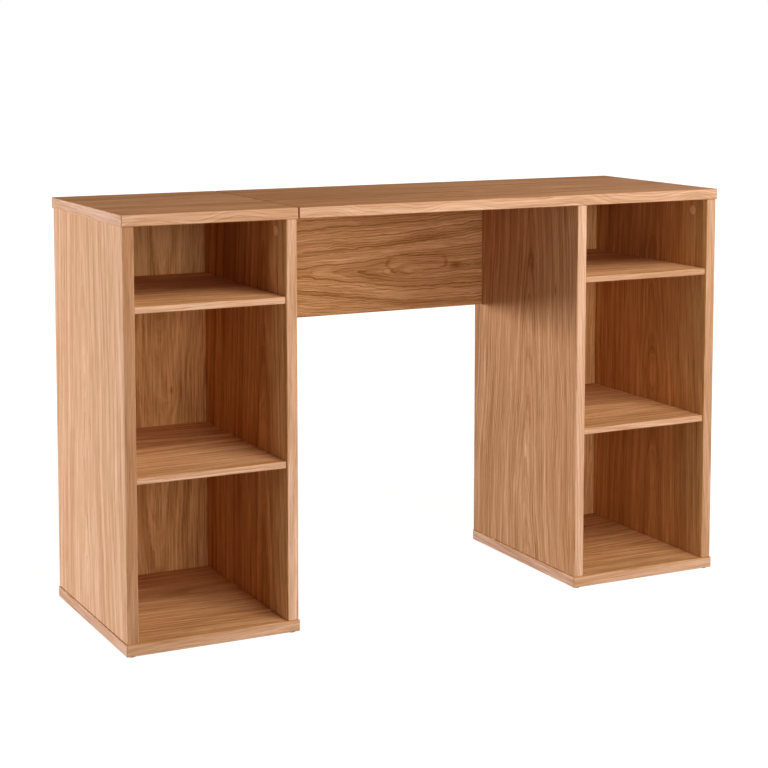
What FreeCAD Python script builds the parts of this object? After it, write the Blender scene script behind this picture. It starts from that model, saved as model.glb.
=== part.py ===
import FreeCAD, Part
import math
import os
import re
import Sketcher

doc = FreeCAD.newDocument("StorageDesk")

# The origin is on the floor at the middle of the desk, +X to the right, +Y to the back, +Z up.

# Driving sizes, in millimetres
SIZES = {
    # the whole desk
    "desk_width": 1206.0,
    "desk_depth": 392.0,
    "desk_height": 750.0,
    "tower_width": 315.0,
    "top_overhang": 2.0,
    "back_overhang": 4.0,
    "seam_gap": 2.0,
    "foot_height": 2.5,
    # boards
    "top_thickness": 20.0,
    "side_thickness": 20.0,
    "base_thickness": 20.0,
    "edge_bevel": 1.0,
    "shelf_thickness": 12.0,
    "shelf_setback": 3.0,
    "shelf_play": 0.5,
    "lower_opening": 272.0,
    "cubby_height": 134.5,
    "back_thickness": 3.0,
    "back_inset": 2.0,
    "modesty_thickness": 15.0,
    "modesty_height": 231.0,
    "modesty_back_gap": 17.5,
    # play round what sits in a bore, on the diameter, and past its end
    "fit_play": 0.1,
    "end_play": 0.5,
    # cam locks and their covers
    "cam_diameter": 15.0,
    "cam_setback": 46.0,
    "cam_drop": 24.0,
    "cam_plate": 3.5,
    "cam_tail": 4.0,
    "cam_sink": 0.2,
    "cam_rim": 2.0,
    "cam_slot": 4.2,
    "drive_slot_length": 9.0,
    "drive_slot_width": 1.6,
    "drive_slot_depth": 2.0,
    "cover_diameter": 18.0,
    "cover_thickness": 1.6,
    "cover_bevel": 1.0,
    # cam bolts
    "bolt_thread_diameter": 7.0,
    "bolt_thread_length": 11.0,
    "bolt_bore_diameter": 8.0,
    "bolt_shank_diameter": 5.0,
    "bolt_neck_diameter": 3.5,
    "bolt_head_diameter": 6.4,
    "bolt_head_height": 4.4,
    # dowels
    "dowel_diameter": 8.0,
    "dowel_length": 30.0,
    "dowel_in_face": 12.0,
    "dowel_step": 32.0,
    "seam_dowel_spacing": 120.0,
    "modesty_dowel_step": 64.0,
    "modesty_dowel_spacing": 300.0,
    # screws up through the bases
    "screw_head_diameter": 10.0,
    "screw_head_height": 3.0,
    "screw_shank_diameter": 7.0,
    "screw_thread_diameter": 5.0,
    "screw_length": 50.0,
    "screw_sink": 0.3,
    # shelf pins
    "pin_diameter": 5.0,
    "pin_length": 16.0,
    "pin_in_side": 8.0,
    "pin_setback": 45.0,
    # nails of the back panels
    "nail_diameter": 1.6,
    "nail_length": 20.0,
    "nail_head_diameter": 3.6,
    "nail_head_height": 0.8,
    "nail_inset": 25.0,
    # glides under the bases
    "glide_diameter": 16.0,
    "glide_bevel": 1.2,
    "glide_inset": 12.0,
    "glide_pin_diameter": 2.4,
    "glide_pin_length": 12.0,
    # steel brackets under the left end of the main top
    "bracket_leg": 25.0,
    "bracket_gauge": 2.5,
    "bracket_width": 20.0,
    "bracket_bend": 2.0,
    "bracket_spacing": 180.0,
    "bracket_hole_diameter": 4.5,
    "bracket_hole_inset": 15.0,
    "wood_screw_diameter": 4.0,
    "wood_screw_length": 16.0,
    "wood_screw_head_diameter": 7.6,
    "wood_screw_head_height": 2.2,
}

# Places and sizes that follow from them
PLACES = {
    "top_under": "desk_height - top_thickness",
    "base_top": "foot_height + base_thickness",
    "side_height": "top_under - base_top",
    "desk_front": "-desk_depth / 2",
    "side_front": "desk_front + top_overhang",
    "side_back": "desk_depth / 2 - back_overhang",
    "side_depth": "side_back - side_front",
    "base_depth": "side_back - desk_front",
    "inner_width": "tower_width - 2 * side_thickness",
    "side_spacing": "tower_width - side_thickness",
    "tower_board": "tower_width + 2 * top_overhang",
    "tower_centre": "desk_width / 2 - tower_board / 2",
    "knee_half": "tower_centre - tower_width / 2",
    "main_top_width": "desk_width - tower_board - seam_gap",
    "main_top_left": "desk_width / 2 - main_top_width",
    "upper_shelf_under": "top_under - cubby_height - shelf_thickness",
    "lower_shelf_under": "base_top + lower_opening",
    "shelf_front": "side_front + shelf_setback",
    "modesty_middle": "desk_depth / 2 - modesty_back_gap - modesty_thickness / 2",
    "modesty_under": "top_under - modesty_height",
    "cam_front": "side_front + cam_setback",
    "cam_span": "side_depth - 2 * cam_setback",
    "cam_hollow": "cam_diameter - 2 * cam_rim",
    "cam_length": "side_thickness / 2 + cam_tail",
    "modesty_cam_length": "modesty_thickness / 2 + cam_tail",
    "dowel_in_edge": "dowel_length - dowel_in_face",
    "bolt_neck_end": "cam_diameter / 2 + bolt_head_height / 2 + end_play",
    "bolt_below": "cam_drop + bolt_head_height / 2",
    "nail_span": "side_height - 2 * nail_inset",
    "dowel_bore": "dowel_diameter + fit_play",
    "face_bore_depth": "dowel_in_face + end_play",
    "edge_bore_depth": "dowel_in_edge + end_play",
    "thread_bore": "bolt_thread_diameter + fit_play",
    "thread_bore_depth": "bolt_thread_length + end_play",
    "cam_bore": "cam_diameter + fit_play",
    "nail_bore": "nail_diameter + fit_play",
    "wood_screw_bore": "wood_screw_diameter + fit_play",
    "wood_screw_bite": "wood_screw_length - bracket_gauge + end_play",
}

TOWERS = {"left": "-tower_centre", "right": "tower_centre"}
NAILS = 4
# Round pieces that hide in the boards, and their bores, are drawn with few sides
SIDES = 8
DRUM_SIDES = 12
GLIDE_SIDES = 24

sheet = doc.addObject("Spreadsheet::Sheet", "Sizes")
for row, (name, value) in enumerate({**SIZES, **PLACES}.items(), start=1):
    sheet.set(f"A{row}", name)
    sheet.set(f"B{row}", str(value) if name in SIZES else "=" + value)
    sheet.setAlias(f"B{row}", name)
doc.recompute()

nodes = []  # the body of every sub-part, in the order of making
cuts = []  # every feature that must take material away, with the feature before it


# Sizes, sketches and features

def worded(formula):
    """A formula whose names all point at the sheet."""
    return re.sub(r"[a-z][a-z_]*", r"Sizes.\g<0>", formula)


def bind(target, path, formula):
    """Ties a property of target to a formula of names in the sheet."""
    target.setExpression(path, worded(formula))


def measure(formula):
    """What a formula comes to with the present sizes."""
    return float(sheet.evalExpression(worded(formula)))


def new_body(name, x, y, z):
    """A sub-part, with its origin at the place that three formulas give."""
    body = doc.addObject("PartDesign::Body", name)
    body.Label = name
    for axis, formula in zip("xyz", (x, y, z)):
        bind(body, f"Placement.Base.{axis}", formula)
    nodes.append(body)
    return body


def origin_part(body, role):
    """The origin plane or axis of a body."""
    return next(part for part in body.Origin.OriginFeatures if part.Role == role)


def new_sketch(body, name, plane, at="0", across="0", turn=0):
    """A sketch on an origin plane, moved along its normal and across it, and turned in degrees."""
    sketch = body.newObject("Sketcher::SketchObject", f"{body.Name}_{name}_sketch")
    sketch.AttachmentSupport = [(origin_part(body, plane), "")]
    sketch.MapMode = "FlatFace"
    turned_by = FreeCAD.Rotation(FreeCAD.Vector(0, 0, 1), turn)
    sketch.AttachmentOffset = FreeCAD.Placement(FreeCAD.Vector(), turned_by)
    bind(sketch, "AttachmentOffset.Base.x", across)
    bind(sketch, "AttachmentOffset.Base.z", at)
    return sketch


def constrain(sketch, rules):
    """Adds constraints to a sketch. A rule is (kind, places) or (kind, places, formula of its size)."""
    first = sketch.ConstraintCount
    sketch.addConstraint([
        Sketcher.Constraint(kind, *places, *(measure(formula) for formula in size))
        for kind, places, *size in rules
    ])
    for index, (kind, places, *size) in enumerate(rules, start=first):
        if size:
            bind(sketch, f"Constraints[{index}]", *size)


def held(geometry, point, x, y):
    """Rules that hold a point of a sketch at two formulas, or on an axis where a formula is 0."""
    return [
        ("PointOnObject", (geometry, point, axis)) if formula == "0"
        else (kind, (-1, 1, geometry, point), formula)
        for formula, kind, axis in ((x, "DistanceX", -2), (y, "DistanceY", -1))
    ]


def polygon(sketch, corners):
    """A closed outline whose corners are pairs of formulas."""
    points = [FreeCAD.Vector(measure(x), measure(y), 0) for x, y in corners]
    rules = []
    for i, (x, y) in enumerate(corners):
        following = (i + 1) % len(corners)
        sketch.addGeometry(Part.LineSegment(points[i], points[following]), False)
        rules += [("Coincident", (i, 2, following, 1)), *held(i, 1, x, y)]
    constrain(sketch, rules)


def rectangle(sketch, width, low, high):
    """A rectangle as wide on both sides of the sketch's middle, from low to high."""
    left, right = f"-({width}) / 2", f"({width}) / 2"
    polygon(sketch, [(left, low), (right, low), (right, high), (left, high)])


def circle(sketch, x, y, diameter, construction=False):
    """The index of a new circle, and the rules that hold it."""
    middle = FreeCAD.Vector(measure(x), measure(y), 0)
    shape = Part.Circle(middle, FreeCAD.Vector(0, 0, 1), measure(diameter) / 2)
    index = sketch.addGeometry(shape, construction)
    return index, [("Diameter", (index,), diameter), *held(index, 3, x, y)]


def polygons(sketch, centres, diameter, sides):
    """One regular polygon at each centre, with the diameter from flat to flat.

    Its corners lie on a construction circle, its sides are equal and its first side is upright.
    """
    half_turn = math.pi / sides
    over_corners = f"({diameter}) / {math.cos(half_turn)}"
    radius = measure(over_corners) / 2
    angles = [(2 * i - 1) * half_turn for i in range(sides)]
    rules = []
    for x, y in centres:
        middle = FreeCAD.Vector(measure(x), measure(y), 0)
        corners = [
            middle + FreeCAD.Vector(math.cos(angle), math.sin(angle), 0) * radius for angle in angles
        ]
        outside, placed = circle(sketch, x, y, over_corners, construction=True)
        first = outside + 1
        rules += [*placed, ("Vertical", (first,))]
        for i, corner in enumerate(corners):
            following = (i + 1) % sides
            sketch.addGeometry(Part.LineSegment(corner, corners[following]), False)
            rules.append(("Coincident", (first + i, 2, first + following, 1)))
            rules.append(("PointOnObject", (first + i, 1, outside)))
            if i:
                rules.append(("Equal", (first, first + i)))
    constrain(sketch, rules)


def pad(body, sketch, length, backward=False):
    """Material along the sketch's normal, or against it."""
    feature = body.newObject("PartDesign::Pad", sketch.Name + "_pad")
    feature.Profile = sketch
    feature.Reversed = backward
    bind(feature, "Length", length)
    return feature


def pocket(body, sketch, depth, along_normal):
    """A cut along the sketch's normal, or against it."""
    before = body.Tip
    feature = body.newObject("PartDesign::Pocket", sketch.Name + "_cut")
    feature.Profile = sketch
    feature.Reversed = along_normal
    bind(feature, "Length", depth)
    cuts.append((before, feature))


def bores(body, name, plane, at, centres, diameter, depth, forward, sides=SIDES):
    """Bores from a plane, towards the plus side of its axis if forward, else the minus side."""
    against = plane == "XZ_Plane"  # the one plane whose normal points to the minus side
    sketch = new_sketch(body, name, plane, f"-({at})" if against else at)
    polygons(sketch, centres, diameter, sides)
    pocket(body, sketch, depth, forward != against)


def edges_at(shape, **limits):
    """Names of the edges that lie wholly at a place along each axis given, such as Z=0."""
    near = shape.BoundBox.DiagonalLength / 10000
    return {
        f"Edge{i}"
        for i, edge in enumerate(shape.Edges, start=1)
        if all(
            abs(getattr(edge.BoundBox, axis + end) - place) < near
            for axis, place in limits.items()
            for end in ("Min", "Max")
        )
    }


def bevel(body, edges, size):
    """Bevels the named edges of the body's last feature."""
    last = body.Tip
    feature = body.newObject("PartDesign::Chamfer", f"{last.Name}_bevel")
    feature.Base = (last, sorted(edges))
    bind(feature, "Size", size)
    doc.recompute()


def board(name, corner, size, bevelled="all"):
    """A flat board from its low corner, with a small bevel on the edges that its place leaves open."""
    body = new_body(name, *corner)
    width, depth, height = size
    sketch = new_sketch(body, "outline", "XY_Plane")
    polygon(sketch, [("0", "0"), (width, "0"), (width, depth), ("0", depth)])
    pad(body, sketch, height)
    doc.recompute()
    shape = body.Tip.Shape
    every = {f"Edge{i}" for i in range(1, len(shape.Edges) + 1)}
    edges = {
        "all": every,
        "all but top": every - edges_at(shape, Z=measure(height)),
        "front": edges_at(shape, Y=0),
        "bottom": edges_at(shape, Z=0),
        "none": set(),
    }[bevelled]
    if edges:
        bevel(body, edges, "edge_bevel")
    return body


def turned(body, axis, steps, start="0", aside="0", backward=False):
    """A peg of coaxial steps, each a (diameter, length) pair.

    Its axis is parallel to an axis of the body and moved aside along X. The steps follow each
    other from start in the axis's direction, or back from it.
    """
    plane = {"X": "YZ_Plane", "Y": "XZ_Plane", "Z": "XY_Plane"}[axis]
    against = plane == "XZ_Plane"
    centre = ("0", "0") if axis == "X" else (aside, "0")
    at = start
    for i, (diameter, length) in enumerate(steps, start=1):
        sketch = new_sketch(body, f"step{i}", plane, f"-({at})" if against else at)
        polygons(sketch, [centre], diameter, SIDES)
        pad(body, sketch, length, backward != against)
        at = f"{at} {'-' if backward else '+'} ({length})"
    doc.recompute()


def repeated(body, rows=(), mirrored=True):
    """Repeats all that a body holds across its YZ plane and in rows of (axis, span, count)."""
    steps = []
    group = body.newObject("PartDesign::MultiTransform", body.Name + "_group")
    group.TransformMode = "Whole shape"
    if mirrored:
        mirror = body.newObject("PartDesign::Mirrored", body.Name + "_mirrored")
        mirror.MirrorPlane = (origin_part(body, "YZ_Plane"), [""])
        steps.append(mirror)
    for axis, span, count in rows:
        row = body.newObject("PartDesign::LinearPattern", f"{body.Name}_along_{axis}")
        row.Direction = (origin_part(body, f"{axis}_Axis"), [""])
        row.Occurrences = count
        bind(row, "Length", span)
        steps.append(row)
    group.Transformations = steps
    body.Tip = group


# Places that the boards share

def grid(xs, ys):
    """Every pair of a place along the first direction and one along the second."""
    return [(x, y) for x in xs for y in ys]


def cam_lines(front):
    """Where the cams stand along the depth of a board whose front is that far before the sides."""
    return f"{front} + cam_setback", f"{front} + side_depth - cam_setback"


def dowel_lines(front):
    """Where the dowels stand beside the cams, one step nearer to the middle."""
    low, high = cam_lines(front)
    return f"{low} + dowel_step", f"{high} - dowel_step"


def wall_lines(left):
    """Middles of the two sides of a tower, whose left side's outer face is at left."""
    return f"{left} + side_thickness / 2", f"{left} + tower_width - side_thickness / 2"


def nail_lines(low):
    """Heights of the nails in one edge, the lowest at low."""
    return [f"{low} + nail_span * {i} / {NAILS - 1}" for i in range(NAILS)]


# Boards

def top_board(name, left, width, tower_left):
    """A board of the desk surface, bored from below for the bolts and dowels of its tower."""
    body = board(name, (left, "desk_front", "top_under"), (width, "desk_depth", "top_thickness"))
    walls = wall_lines(tower_left)
    bolts = grid(walls, cam_lines("top_overhang"))
    bores(body, "bolts", "XY_Plane", "0", bolts, "thread_bore", "thread_bore_depth", True)
    dowels = grid(walls, dowel_lines("top_overhang"))
    bores(body, "dowels", "XY_Plane", "0", dowels, "dowel_bore", "face_bore_depth", True)
    return body


def seam_bores(body, end, forward):
    """Bores in one end of a desk surface board for the dowels that line it up with the other."""
    rows = [f"desk_depth / 2 {way} seam_dowel_spacing / 2" for way in "-+"]
    depth = "dowel_length / 2 - seam_gap / 2 + end_play"
    centres = grid(rows, ["top_thickness / 2"])
    bores(body, "seam", "YZ_Plane", end, centres, "dowel_bore", depth, forward)


def left_top():
    """The short board over the left tower."""
    body = top_board("left_top", "-desk_width / 2", "tower_board", "top_overhang")
    seam_bores(body, "tower_board", False)


def main_top():
    """The long board over the knee space and the right tower."""
    tower_left = "main_top_width - top_overhang - tower_width"
    body = top_board("main_top", "main_top_left", "main_top_width", tower_left)
    seam_bores(body, "0", True)
    spots = [
        (f"0 {way} modesty_dowel_spacing / 2 - main_top_left", "modesty_middle - desk_front")
        for way in "-+"
    ]
    bores(body, "modesty", "XY_Plane", "0", spots, "dowel_bore", "face_bore_depth", True)
    rows = [f"desk_depth / 2 {way} bracket_spacing / 2" for way in "-+"]
    spots = grid(["bracket_hole_inset - knee_half - main_top_left"], rows)
    bores(body, "brackets", "XY_Plane", "0", spots, "wood_screw_bore", "wood_screw_bite", True)


def tower_side(name, left, inner_face, inward):
    """An upright board, with a face to the inside of its tower, bored to the plus side if inward."""
    corner = (left, "side_front", "base_top")
    size = ("side_thickness", "side_depth", "side_height")
    body = board(name, corner, size, "all but top")
    middle = ["side_thickness / 2"]
    cams = grid(middle, cam_lines("0"))
    dowels = grid(middle, dowel_lines("0"))
    drums = grid(cam_lines("0"), ["side_height - cam_drop"])
    depth = "cam_length + cam_sink + end_play"
    bores(body, "drums", "YZ_Plane", inner_face, drums, "cam_bore", depth, inward, DRUM_SIDES)
    bores(body, "bolts", "XY_Plane", "side_height", cams, "bolt_bore_diameter", "cam_drop", False)
    bores(body, "dowels", "XY_Plane", "side_height", dowels, "dowel_bore", "edge_bore_depth", False)
    pilot = "screw_thread_diameter + fit_play"
    depth = "screw_length - base_thickness + screw_sink + end_play"
    bores(body, "screws", "XY_Plane", "0", cams, pilot, depth, True)
    levels = [f"{level}_shelf_under - base_top - pin_diameter / 2" for level in ("upper", "lower")]
    pins = grid(["pin_setback", "side_depth - pin_setback"], levels)
    width = "pin_diameter + fit_play"
    bores(body, "pins", "YZ_Plane", inner_face, pins, width, "pin_in_side + end_play", inward)
    nails = grid(middle, nail_lines("nail_inset"))
    depth = "nail_length - back_thickness + end_play"
    bores(body, "nails", "XZ_Plane", "side_depth", nails, "nail_bore", depth, False)
    return body


def modesty_bores(body, knee_face, inward):
    """Bores in the knee face of a side for the bolt and dowels of the modesty panel."""
    line = ["modesty_middle - side_front"]
    level = "modesty_under - base_top + modesty_height / 2"
    bolt = grid(line, [level])
    bores(body, "panel_bolt", "YZ_Plane", knee_face, bolt, "thread_bore", "thread_bore_depth", inward)
    dowels = grid(line, [f"{level} {way} modesty_dowel_step" for way in "-+"])
    bores(body, "panel_dowels", "YZ_Plane", knee_face, dowels, "dowel_bore", "face_bore_depth", inward)


def sides():
    """The four sides of the towers. The two at the knee space carry the modesty panel."""
    outer, inner = "tower_centre + tower_width / 2", "knee_half"
    tower_side("left_outer_side", f"-({outer})", "side_thickness", False)
    left = tower_side("left_inner_side", f"-{inner} - side_thickness", "0", True)
    right = tower_side("right_inner_side", inner, "side_thickness", False)
    tower_side("right_outer_side", f"{outer} - side_thickness", "0", True)
    modesty_bores(left, "side_thickness", False)
    modesty_bores(right, "0", True)
    rows = [f"desk_depth / 2 - top_overhang {way} bracket_spacing / 2" for way in "-+"]
    spots = grid(rows, ["side_height - bracket_hole_inset"])
    bores(left, "brackets", "YZ_Plane", "side_thickness", spots, "wood_screw_bore", "wood_screw_bite", False)


def base_board(tower, centre):
    """The bottom board of a tower, which stands a little proud of the sides in front and beside."""
    corner = (f"{centre} - tower_board / 2", "desk_front", "foot_height")
    body = board(f"{tower}_base", corner, ("tower_board", "base_depth", "base_thickness"))
    screws = grid(wall_lines("top_overhang"), cam_lines("top_overhang"))
    head = "screw_head_diameter + fit_play"
    bores(body, "heads", "XY_Plane", "0", screws, head, "screw_head_height + screw_sink", True)
    shank = "screw_shank_diameter + fit_play"
    bores(body, "shanks", "XY_Plane", "0", screws, shank, "base_thickness", True)
    glides = grid(
        ["glide_inset", "tower_board - glide_inset"],
        ["glide_inset", "base_depth - glide_inset"],
    )
    width = "glide_pin_diameter + fit_play"
    bores(body, "glides", "XY_Plane", "0", glides, width, "glide_pin_length + end_play", True)


def shelf(tower, level, centre):
    """A thinner board that lies loose on four pins between the sides of a tower."""
    corner = (f"{centre} - inner_width / 2 + shelf_play", "shelf_front", f"{level}_shelf_under")
    depth = "side_back - shelf_front - shelf_play"
    size = ("inner_width - 2 * shelf_play", depth, "shelf_thickness")
    board(f"{tower}_{level}_shelf", corner, size, "front")


def back_panel(tower, centre):
    """The thin board behind a tower, nailed to the back edges of the sides."""
    corner = (f"{centre} - tower_width / 2 + back_inset", "side_back", "foot_height + back_inset")
    height = "top_under - foot_height - back_inset"
    size = ("tower_width - 2 * back_inset", "back_thickness", height)
    body = board(f"{tower}_back_panel", corner, size, "none")
    spots = grid(wall_lines("0 - back_inset"), nail_lines("base_thickness - back_inset + nail_inset"))
    bores(body, "nails", "XZ_Plane", "back_thickness", spots, "nail_bore", "back_thickness", False)


def modesty_panel():
    """The board under the long top between the towers. Its locks are let in from behind."""
    corner = ("-knee_half", "modesty_middle - modesty_thickness / 2", "modesty_under")
    size = ("2 * knee_half", "modesty_thickness", "modesty_height")
    body = board("modesty_panel", corner, size, "bottom")
    level = "modesty_height / 2"
    drums = grid(["cam_drop", "2 * knee_half - cam_drop"], [level])
    depth = "modesty_cam_length + cam_sink + end_play"
    bores(body, "drums", "XZ_Plane", "modesty_thickness", drums, "cam_bore", depth, False, DRUM_SIDES)
    middle = ["modesty_thickness / 2"]
    bolt = grid(middle, [level])
    dowels = grid(middle, [f"{level} {way} modesty_dowel_step" for way in "-+"])
    for end, face, inward in (("left", "0", True), ("right", "2 * knee_half", False)):
        bores(body, f"{end}_bolt", "YZ_Plane", face, bolt, "bolt_bore_diameter", "cam_drop", inward)
        bores(body, f"{end}_dowels", "YZ_Plane", face, dowels, "dowel_bore", "edge_bore_depth", inward)
    spots = grid([f"knee_half {way} modesty_dowel_spacing / 2" for way in "-+"], middle)
    bores(body, "top_dowels", "XY_Plane", "modesty_height", spots, "dowel_bore", "edge_bore_depth", False)


# Fasteners, each set being one node of separate solids

# Steps of the turned pieces, as (diameter, length) pairs
DOWEL = [("dowel_diameter", "dowel_length")]
CAM_BOLT = [
    ("bolt_head_diameter", "bolt_head_height"),
    ("bolt_neck_diameter", "bolt_neck_end - bolt_head_height"),
    ("bolt_shank_diameter", "bolt_below - bolt_neck_end"),
    ("bolt_thread_diameter", "bolt_thread_length"),
]
BASE_SCREW = [
    ("screw_head_diameter", "screw_head_height"),
    ("screw_shank_diameter", "base_thickness - screw_sink - screw_head_height"),
    ("screw_thread_diameter", "screw_length - base_thickness + screw_sink"),
]
SHELF_PIN = [("pin_diameter", "pin_length")]
NAIL = [("nail_diameter", "nail_length"), ("nail_head_diameter", "nail_head_height")]
WOOD_SCREW = [
    ("wood_screw_diameter", "wood_screw_length"),
    ("wood_screw_head_diameter", "wood_screw_head_height"),
]


def lock_drum(body, plane, face, length, across="0", turn=0):
    """A cam lock let in along a plane's normal from its face. The bolt enters at the sketch's top.

    Behind the face plate the drum is hollow to its tail, and a slot in its rim lets the neck of
    the bolt in, so that the rim holds the bolt's head.
    """
    drum = new_sketch(body, "drum", plane, face, across, turn)
    polygons(drum, [("0", "0")], "cam_diameter", DRUM_SIDES)
    pad(body, drum, length)
    hollow = new_sketch(body, "hollow", plane, f"{face} + cam_plate", across, turn)
    polygons(hollow, [("0", "0")], "cam_hollow", DRUM_SIDES)
    pocket(body, hollow, length, True)
    slot = new_sketch(body, "slot", plane, f"{face} + cam_plate", across, turn)
    rectangle(slot, "cam_slot", "0", "cam_diameter")
    pocket(body, slot, length, True)
    drive = new_sketch(body, "drive", plane, face, across, turn)
    rectangle(drive, "drive_slot_width", "-drive_slot_length / 2", "drive_slot_length / 2")
    pocket(body, drive, "drive_slot_depth", True)


def cover(body, plane, front, across="0"):
    """A round cover whose front face lies at a place along the plane's normal, with a bevelled rim."""
    sketch = new_sketch(body, "disc", plane, front, across)
    constrain(sketch, circle(sketch, "0", "0", "cover_diameter")[1])
    pad(body, sketch, "cover_thickness")
    doc.recompute()
    disc = body.Tip.Shape
    rim = edges_at(disc, X=measure(front)) if plane == "YZ_Plane" else edges_at(disc, Y=-measure(front))
    bevel(body, rim, "cover_bevel")


def tower_fasteners(tower, centre):
    """Locks, bolts, covers, dowels, screws, pins, nails and glides of one tower."""
    wall = "side_spacing / 2"
    cam_row = [("Y", "cam_span", 2)]

    locks = new_body(f"{tower}_cam_locks", centre, "cam_front", "top_under - cam_drop")
    lock_drum(locks, "YZ_Plane", "inner_width / 2 + cam_sink", "cam_length")
    repeated(locks, cam_row)

    bolts = new_body(f"{tower}_cam_bolts", centre, "cam_front", "top_under - bolt_below")
    turned(bolts, "Z", CAM_BOLT, aside=wall)
    repeated(bolts, cam_row)

    covers = new_body(f"{tower}_cam_covers", centre, "cam_front", "top_under - cam_drop")
    cover(covers, "YZ_Plane", "inner_width / 2 - cover_thickness")
    repeated(covers, cam_row)

    start = "top_under - dowel_in_edge"
    dowels = new_body(f"{tower}_top_dowels", centre, "cam_front + dowel_step", start)
    turned(dowels, "Z", DOWEL, aside=wall)
    repeated(dowels, [("Y", "cam_span - 2 * dowel_step", 2)])

    screws = new_body(f"{tower}_base_screws", centre, "cam_front", "foot_height + screw_sink")
    turned(screws, "Z", BASE_SCREW, aside=wall)
    repeated(screws, cam_row)

    for level in ("upper", "lower"):
        height = f"{level}_shelf_under - pin_diameter / 2"
        pins = new_body(f"{tower}_{level}_shelf_pins", centre, "side_front + pin_setback", height)
        turned(pins, "X", SHELF_PIN, "inner_width / 2 - pin_length + pin_in_side")
        repeated(pins, [("Y", "side_depth - 2 * pin_setback", 2)])

    start = "side_back + back_thickness - nail_length"
    nails = new_body(f"{tower}_back_nails", centre, start, "base_top + nail_inset")
    turned(nails, "Y", NAIL, aside=wall)
    repeated(nails, [("Z", "nail_span", NAILS)])

    glides = new_body(f"{tower}_glides", centre, "desk_front + glide_inset", "0")
    aside = "tower_board / 2 - glide_inset"
    foot = new_sketch(glides, "foot", "XY_Plane", "0", aside)
    polygons(foot, [("0", "0")], "glide_diameter", GLIDE_SIDES)
    pad(glides, foot, "foot_height")
    doc.recompute()
    bevel(glides, edges_at(glides.Tip.Shape, Z=0), "glide_bevel")
    turned(glides, "Z", [("glide_pin_diameter", "glide_pin_length")], "foot_height", aside)
    repeated(glides, [("Y", "base_depth - 2 * glide_inset", 2)])


def modesty_fasteners():
    """A lock, its bolt and cover, and two dowels for each end of the modesty panel, and two above."""
    rear = "modesty_middle + modesty_thickness / 2"
    level = "modesty_under + modesty_height / 2"
    drum = "knee_half - cam_drop"

    locks = new_body("modesty_cam_locks", "0", rear, level)
    lock_drum(locks, "XZ_Plane", "cam_sink", "modesty_cam_length", drum, turn=-90)
    repeated(locks)

    bolts = new_body("modesty_cam_bolts", "0", "modesty_middle", level)
    turned(bolts, "X", CAM_BOLT, "knee_half - bolt_below")
    repeated(bolts)

    covers = new_body("modesty_cam_covers", "0", rear, level)
    cover(covers, "XZ_Plane", "-cover_thickness", drum)
    repeated(covers)

    ends = new_body("modesty_end_dowels", "0", "modesty_middle", f"{level} - modesty_dowel_step")
    turned(ends, "X", DOWEL, "knee_half - dowel_in_edge")
    repeated(ends, [("Z", "2 * modesty_dowel_step", 2)])

    upper = new_body("modesty_top_dowels", "0", "modesty_middle", "top_under - dowel_in_edge")
    turned(upper, "Z", DOWEL, aside="modesty_dowel_spacing / 2")
    repeated(upper)


def seam_dowels():
    """The dowels that keep the two boards of the desk surface level with each other."""
    start = "main_top_left - seam_gap / 2 - dowel_length / 2"
    height = "top_under + top_thickness / 2"
    dowels = new_body("seam_dowels", start, "-seam_dowel_spacing / 2", height)
    turned(dowels, "X", DOWEL)
    repeated(dowels, [("Y", "seam_dowel_spacing", 2)], mirrored=False)


def bracket(name, y):
    """A bent steel angle in the corner between the left inner side and the long top."""
    body = new_body(name, "-knee_half", y, "top_under")
    sketch = new_sketch(body, "outline", "XZ_Plane", "bracket_width / 2")
    leg, gauge = "bracket_leg", "bracket_gauge"
    top_leg = [("0", "0"), (leg, "0"), (leg, f"-{gauge}"), (gauge, f"-{gauge}")]
    polygon(sketch, top_leg + [(gauge, f"-{leg}"), ("0", f"-{leg}")])
    pad(body, sketch, "bracket_width", backward=True)
    doc.recompute()
    inside = measure(gauge)
    bends = ((inside, "bracket_bend"), (0, "bracket_bend + bracket_gauge"))
    for depth, radius in bends:
        last = body.Tip
        bend = body.newObject("PartDesign::Fillet", last.Name + "_bend")
        bend.Base = (last, sorted(edges_at(last.Shape, X=depth, Z=-depth)))
        bind(bend, "Radius", radius)
        doc.recompute()
    side_hole = [("0", "-bracket_hole_inset")]
    bores(body, "side_hole", "YZ_Plane", "0", side_hole, "bracket_hole_diameter", gauge, True)
    top_hole = [("bracket_hole_inset", "0")]
    bores(body, "top_hole", "XY_Plane", "0", top_hole, "bracket_hole_diameter", gauge, False)


def brackets():
    """The two brackets and their screws, which carry the left end of the long top."""
    bracket("front_bracket", "-bracket_spacing / 2")
    bracket("rear_bracket", "bracket_spacing / 2")
    row = ("Y", "bracket_spacing", 2)
    bite = "wood_screw_length - bracket_gauge"

    height = "top_under - bracket_hole_inset"
    into_side = new_body("bracket_side_screws", f"-knee_half - ({bite})", "-bracket_spacing / 2", height)
    turned(into_side, "X", WOOD_SCREW)
    repeated(into_side, [row], mirrored=False)

    place = "bracket_hole_inset - knee_half"
    into_top = new_body("bracket_top_screws", place, "-bracket_spacing / 2", f"top_under + {bite}")
    turned(into_top, "Z", WOOD_SCREW, backward=True)
    repeated(into_top, [row], mirrored=False)


# The whole desk

left_top()
main_top()
sides()
modesty_panel()
for tower, centre in TOWERS.items():
    base_board(tower, centre)
    shelf(tower, "upper", centre)
    shelf(tower, "lower", centre)
    back_panel(tower, centre)
    tower_fasteners(tower, centre)
modesty_fasteners()
seam_dowels()
brackets()
doc.recompute()

for item in doc.Objects:
    if {"Invalid", "Error"} & set(item.State):
        raise RuntimeError(f"{item.Name} failed: {item.State}")
for before, cut in cuts:
    if not cut.Shape.Volume < before.Shape.Volume:
        raise RuntimeError(f"{cut.Name} took nothing away")
for node in nodes:
    if node.Shape.isNull() or not node.Shape.isValid():
        raise RuntimeError(f"{node.Label} has no valid shape")

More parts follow.
